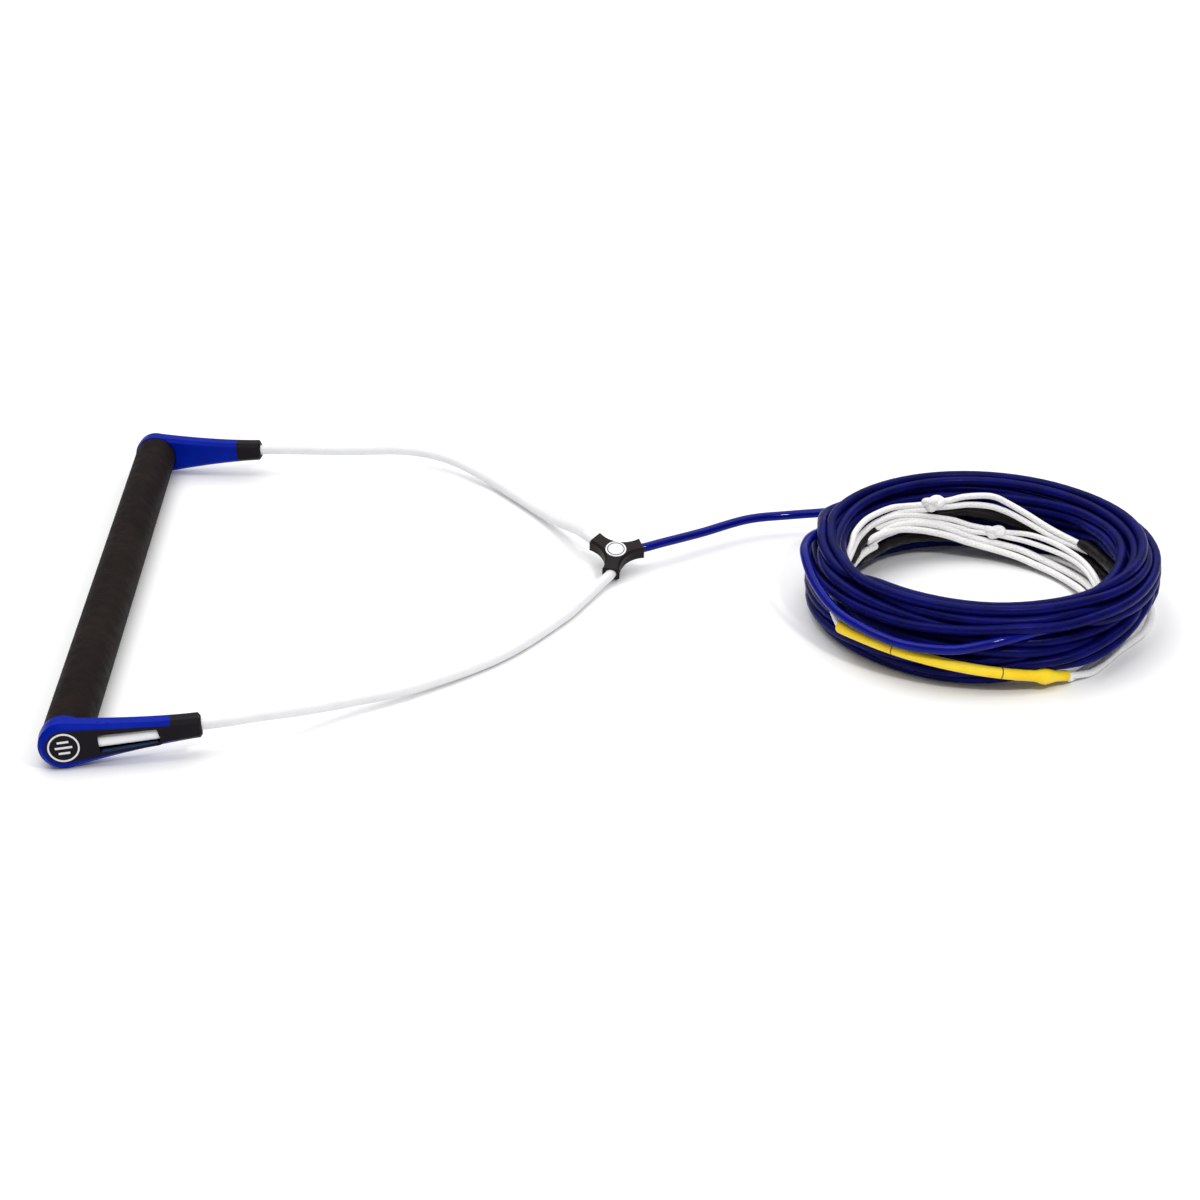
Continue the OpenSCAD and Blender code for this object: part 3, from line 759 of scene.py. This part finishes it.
# its two sides leave the label sleeve one over the other, from a point inside it
inside, mouth = round_hank([(289, 6.6, 4.4), (291.5, 5.9, 3.6)])
shift_up = Vector((0, 0, 1.6))
eye_line = smooth([inside + shift_up * 0.6, mouth + shift_up * 0.4]
                  + round_hank(out_side[1:-1] + tip + back_side[-2:0:-1])
                  + [mouth - shift_up * 0.6 + Vector((-1.2, 0.8, 0)), inside - shift_up * 0.5], 1.6)
eye = tube("boat_eye_cord", eye_line, 2.15, "clear_tube", 16)
give(eye, None, "boat_loop")
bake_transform(eye)


# ---------------------------------------------------------------- take-off loops inside the hank


def shrunk(wide, length):
    """The radius of a shrink tube: narrower at its ends, and a little creased."""
    def radius(s, a):
        end = min(s, length - s)
        r = wide - 0.7 * math.exp(-((end / 3.5) ** 2))
        return r + 0.16 * math.sin(s * 0.55 + 1.3 * math.sin(a)) + 0.10 * math.sin(s * 1.7 + 2 * a)
    return radius


for name, (wide, route) in SLEEVES.items():
    line = smooth(round_hank(route), 1.8)
    length = path_length(line)
    piece = tube(name + "_cover", line, shrunk(wide, length), "sleeve_black", 18)
    give(piece, "hank", *([name] if name != "sleeve_end" else []))

for node, cords in BRAIDS.items():
    for i, (name, d, route) in enumerate(cords):
        line = smooth(round_hank(route), 1.5)
        piece = tube("braid_" + name, line, d / 2, "braid_white", 16)
        give(piece, "hank", *([node] if i == 0 and node != "thin" else []))


def knot(name, place, size, squash, d, node):
    """An overhand knot: a closed trefoil of cord about the braids' line. size is its half length,
    squash how high it stands for that, d its cord's diameter."""
    a, o, z = place
    here, ahead = round_hank([place, (a - 3, o, z)])
    x = (ahead - here).normalized()
    outward = Vector((here.x - HANK.x, here.y - HANK.y, 0)).normalized()
    z_axis = x.cross(outward).normalized()
    y = z_axis.cross(x)
    pts = []
    for i in range(97):
        t = 2 * math.pi * i / 96
        p = Vector((math.sin(t) + 2 * math.sin(2 * t), math.cos(t) - 2 * math.cos(2 * t), -math.sin(3 * t)))
        pts.append(here + x * (p.x * size * 0.36) + z_axis * ((p.y + 0.5) * size * squash)
                   + y * (p.z * size * 0.28))
    obj = tube(name, pts, d / 2, "braid_white", 14, "flat", "flat")
    give(obj, "hank", node)


knot("knot_a_body", (103.6, -19.4, 37.6), 5.2, 0.20, 4.8, "knot_a")
knot("knot_b_body", (72.2, -22.8, 19.6), 5.2, 0.17, 4.2, "knot_b")


# ---------------------------------------------------------------- handle, joiner: CAD shapes with their materials

for node, mat in (("handle_tube", "tube_metal"), ("grip_sleeve", "grip_foam"),
                  ("cap_shell_near", "cap_blue"), ("cap_shell_far", "cap_blue"),
                  ("cap_insert_near", "cap_black"), ("cap_insert_far", "cap_black"),
                  ("cap_badge_near", "mark_white"), ("cap_badge_far", "mark_white"),
                  ("joiner_body", "joiner_black"), ("joiner_badge", "mark_white")):
    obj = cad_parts[node]
    obj.data.materials.clear()
    obj.data.materials.append(MAT[mat])
    if node.startswith(("cap_insert", "joiner_body")):
        soft = obj.modifiers.new("soft_edges", "BEVEL")
        soft.width = 0.35 * MM
        soft.segments = 3
        soft.limit_method = "ANGLE"
        soft.angle_limit = rad(28)


def arm_place(side, x, y, z):
    """A point of a cap's arm: x along it, y outwards from its middle, z up."""
    along = x * math.cos(LEAN) + y * math.sin(LEAN)
    out = y * math.cos(LEAN) - x * math.sin(LEAN) + CAP_T / 2
    return Vector((along * math.cos(RISE) - z * math.sin(RISE), side * (GRIP_LEN / 2 + out),
                   along * math.sin(RISE) + z * math.cos(RISE)))


WINDOW_CORD_END, WINDOW_CORD_R = 56.5, 3.6
LIP_STEPS, LIP_SIDES = 24, 6           # of the lip: stations along it, corners of its section

# in each cap's window: the bridle cord's run inside the arm, and the sloping lip under it, black plastic painted
# blue-grey as a painted highlight
for word, side in (("near", -1), ("far", 1)):
    line = [arm_place(side, x, 0.9 * min(1, (WINDOW_CORD_END - x) / 5), -0.6)
            for x in np.arange(13, WINDOW_CORD_END, 1.5)]
    # the cord in the window takes the brighter copy of the leg cord's white: painted light
    piece = tube("window_cord_" + word, line, WINDOW_CORD_R, "window_cord_lit_white", 24)
    give(piece, "handle", "cap_cord_" + word)
    verts = []
    for i in range(LIP_STEPS + 1):
        t = i / LIP_STEPS
        x, low = 18.6 + 30 * t, -6.1 + 1.5 * t
        wide = 0.35 + 1.25 * (1 - t)
        section = ((4.9, -0.5), (5.1, -0.1), (4.7, 0.12 + 0.15 * wide),
                   (3.4, 0.6 * wide), (3.0, 0.5 * wide), (3.0, -0.5))
        verts += [arm_place(side, x, y, low + h) for y, h in section]
    n = LIP_SIDES
    faces = [(n * i + k, n * i + (k + 1) % n, n * i + n + (k + 1) % n, n * i + n + k)
             for i in range(LIP_STEPS) for k in range(n)]
    faces += [tuple(range(n)), tuple(range(n * LIP_STEPS, n * LIP_STEPS + n))]
    lip = add_mesh("window_lip_" + word, verts, faces, "window_lip")
    weld(lip)
    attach(lip, "handle")

# the thin dark ring set in the joiner's badge
BADGE_RING_R, BADGE_RING_WIRE = 5.1, 0.28
ring_x = Vector((1, 0, 0))
ring_y = Vector((0, math.cos(JOINER_TILT), math.sin(JOINER_TILT)))
ring_top = JOINER + ring_x.cross(ring_y) * (JOINER_T / 2 + 0.38)
ring_line = [ring_top + (ring_x * math.cos(rad(a)) + ring_y * math.sin(rad(a))) * BADGE_RING_R
             for a in range(0, 363, 3)]
ring = tube("joiner_ring", ring_line, BADGE_RING_WIRE, "joiner_black", 8, "flat", "flat")
give(ring, "bridle")


# ---------------------------------------------------------------- floor and lights


def floor_material():
    """Plain pale paper, very slightly uneven."""
    s = Shader("floor", Roughness=0.6, Specular_IOR_Level=0.2)
    obj = s.coords()
    s.colour(s.mix(s.scale_to(s.noise(obj, 6, 2), 0, 1), (0.90, 0.90, 0.90), (0.92, 0.92, 0.92)))


floor_material()
floor_mesh = bpy.data.meshes.new("floor")
floor_mesh.from_pydata([(-6, -6, 0), (6, -6, 0), (6, 6, 0), (-6, 6, 0)], [], [(0, 1, 2, 3)])
floor_mesh.materials.append(MAT["floor"])
floor = bpy.data.objects.new("floor", floor_mesh)
floor.location = (0.3, 0, FLOOR * MM - 0.0002)
scene.collection.objects.link(floor)

world = bpy.data.worlds.new("studio")
world.use_nodes = True
world.node_tree.nodes["Background"].inputs["Color"].default_value = (0.97, 0.98, 1.0, 1)
world.node_tree.nodes["Background"].inputs["Strength"].default_value = 0.34
scene.world = world


def area_light(name, at, look, size, power):
    """A rectangular light at a point, turned towards another; sizes in m, power in W."""
    data = bpy.data.lights.new(name, "AREA")
    data.shape = "RECTANGLE"
    data.size, data.size_y = size
    data.energy = power
    light = bpy.data.objects.new(name, data)
    light.location = at
    light.rotation_euler = (Vector(look) - Vector(at)).to_track_quat("-Z", "Y").to_euler()
    scene.collection.objects.link(light)


area_light("key", (-0.1, -0.45, 1.6), (0.3, 0, 0), (1.6, 1.1), 11)
area_light("sky", (0.3, 1.4, 3.0), (0.3, 1.0, 0), (5.0, 4.0), 98)
area_light("far_floor", (0.3, 4.2, 2.6), (0.3, 4.2, 0), (7.0, 3.0), 45)
area_light("glint", (0.75, -0.75, 0.9), (0.5, -0.1, 0), (0.12, 0.08), 4.5)
scene.view_settings.view_transform = "Standard"
